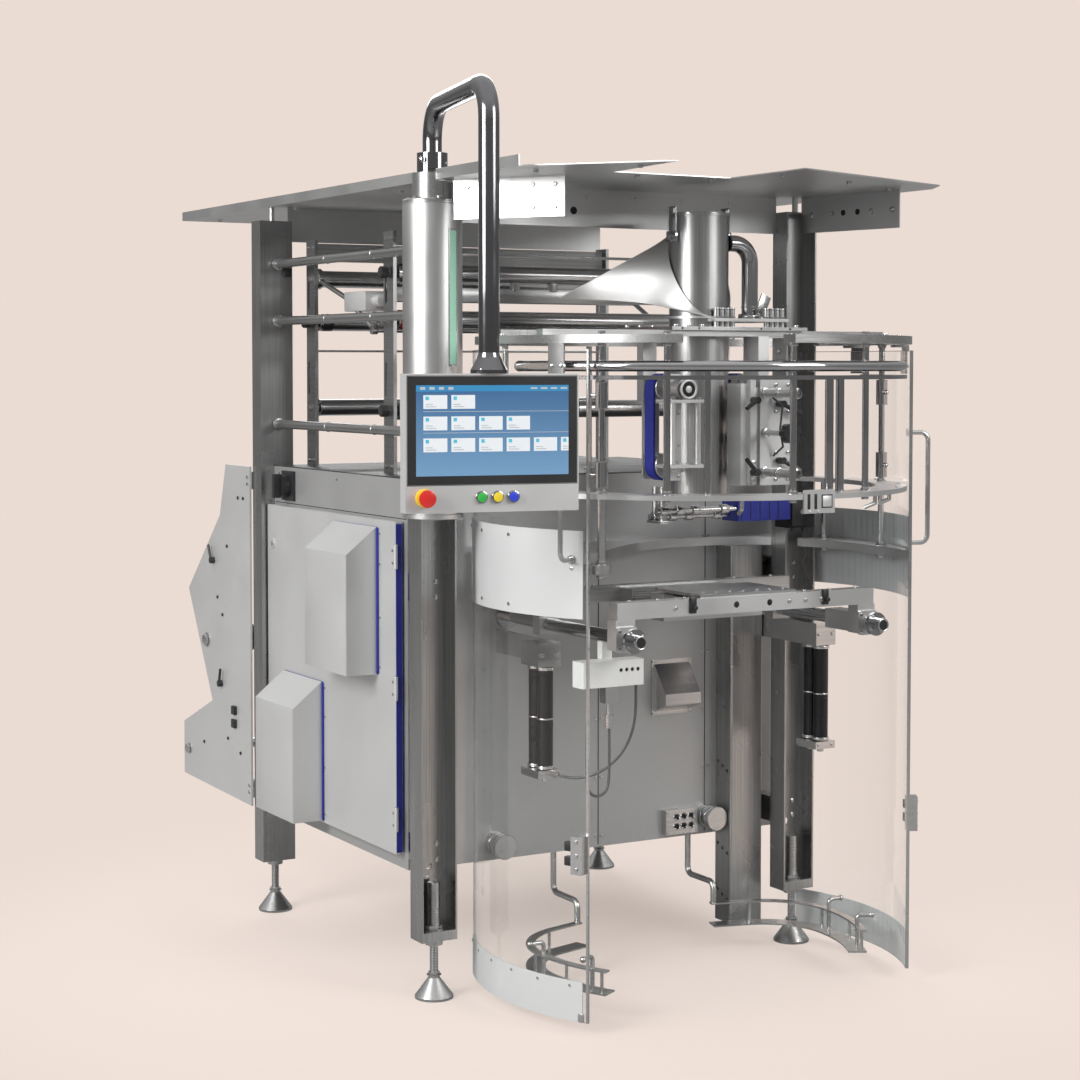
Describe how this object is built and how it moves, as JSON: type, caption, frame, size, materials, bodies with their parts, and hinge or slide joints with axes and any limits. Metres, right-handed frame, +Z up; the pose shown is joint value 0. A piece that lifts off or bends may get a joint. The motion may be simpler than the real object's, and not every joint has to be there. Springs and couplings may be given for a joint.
{
  "type": "vertical form fill seal machine",
  "caption": "Upright bag making machine with round guard, forming tube, sealing jaws, cabinet and swinging operator panel.",
  "frame": {"origin": "centre of the front left foot's base, on the floor", "axes": "+X to the right along the front, +Y to the back, +Z up"},
  "size_m": [1.5692, 2.48, 2.2681],
  "materials": {
    "bead_blasted": "bead blasted stainless sheet",
    "black_anodised": "black anodised aluminium",
    "black_plastic": "black moulded plastic",
    "blue_paint": "blue paint",
    "blue_seal": "blue rubber",
    "brushed_steel": "brushed stainless steel, grain along each piece",
    "buttons": "coloured push buttons",
    "cable_grey": "grey cable sheath",
    "clear_sheet": "clear polycarbonate sheet",
    "grey_wall": "grey satin sheet",
    "mint_light": "mint light strip",
    "polished": "polished stainless tube",
    "screen": "glass front of the panel",
    "white_panel": "white powder coat, satin",
    "white_plastic": "white moulded box"
  },
  "bodies": {
    "machine": {"box_column": "brushed_steel", "cabinet_body": "grey_wall", "cabinet_fittings": "brushed_steel", "cable_box": "white_plastic", "cable_plug": "brushed_steel", "cage_rods": "brushed_steel", "column_cap": "black_anodised", "column_light": "mint_light", "cooler_box": "blue_paint", "cooler_motor": "black_anodised", "drive_belts": "blue_seal", "film_drives": "brushed_steel", "film_frame": "brushed_steel", "film_rollers": "bead_blasted", "floor_guides": "brushed_steel", "former_plates": "brushed_steel", "forming_shoulder": "brushed_steel", "forming_tube": "bead_blasted", "front_left_post": "brushed_steel", "front_right_post": "brushed_steel", "gas_pipe": "polished", "guard_rails": "polished", "jaw_shafts": "brushed_steel", "levelling_feet": "brushed_steel", "lift_cable": "cable_grey", "lift_cylinders": "black_anodised", "lift_heads": "brushed_steel", "lower_guard_rings": "brushed_steel", "main_switch": "black_plastic", "post_brackets": "brushed_steel", "rear_posts": "brushed_steel", "reel_shaft_and_bars": "brushed_steel", "reel_side_plates": "white_panel", "roof_left": "bead_blasted", "roof_right": "bead_blasted", "roof_valances": "bead_blasted", "round_column": "bead_blasted", "sealer_knobs": "black_plastic", "sensor_cable": "cable_grey", "upper_guard_ring": "brushed_steel", "vertical_sealer": "brushed_steel"},
    "swing_arm": {"arm_collars": "polished", "panel_arm": "polished"},
    "operator_panel": {"panel_housing": "white_panel", "panel_glass": "screen", "panel_buttons": "buttons"},
    "cabinet_door": {"side_door": "white_panel", "side_door_hoods": "white_panel", "side_door_seals": "blue_seal"},
    "left_guard_door": {"left_guard_glass": "clear_sheet", "left_guard_bands": "white_panel", "left_guard_fittings": "brushed_steel"},
    "right_guard_door": {"right_guard_glass": "clear_sheet", "right_guard_bands": "white_panel", "right_guard_fittings": "brushed_steel"},
    "front_jaw_set": {"front_jaw": "brushed_steel", "front_jaw_plate": "brushed_steel"},
    "rear_jaw_set": {"rear_jaw": "brushed_steel"}
  },
  "joints": [
    {"name": "arm_swing", "type": "hinge", "parent": "machine", "child": "swing_arm", "pos_m": [0, 0, 2.08], "axis": [0, 0, 1], "range_deg": [-75, 0]},
    {"name": "panel_turn", "type": "hinge", "parent": "swing_arm", "child": "operator_panel", "pos_m": [-0.1208, -0.52324, 1.583], "axis": [0, 0, 1], "range_deg": [-45, 45]},
    {"name": "cabinet_door_hinge", "type": "hinge", "parent": "machine", "child": "cabinet_door", "pos_m": [-0.0255, 0.142, 0.77], "axis": [0, 0, 1], "range_deg": [0, 100]},
    {"name": "left_guard_slide", "type": "hinge", "parent": "machine", "child": "left_guard_door", "pos_m": [0.655, -0.185, 1.64], "axis": [0, 0, 1], "range_deg": [0, 57.5]},
    {"name": "right_guard_slide", "type": "hinge", "parent": "machine", "child": "right_guard_door", "pos_m": [0.655, -0.185, 1.64], "axis": [0, 0, 1], "range_deg": [-57.5, 0]},
    {"name": "front_jaw_close", "type": "slide", "parent": "machine", "child": "front_jaw_set", "axis": [0, 1, 0], "range_m": [0, 0.035]},
    {"name": "rear_jaw_close", "type": "slide", "parent": "machine", "child": "rear_jaw_set", "axis": [0, -1, 0], "range_m": [0, 0.035]}
  ],
  "couplings": [
    {"joint": "rear_jaw_close", "follows": "front_jaw_close", "ratio": 1}
  ]
}
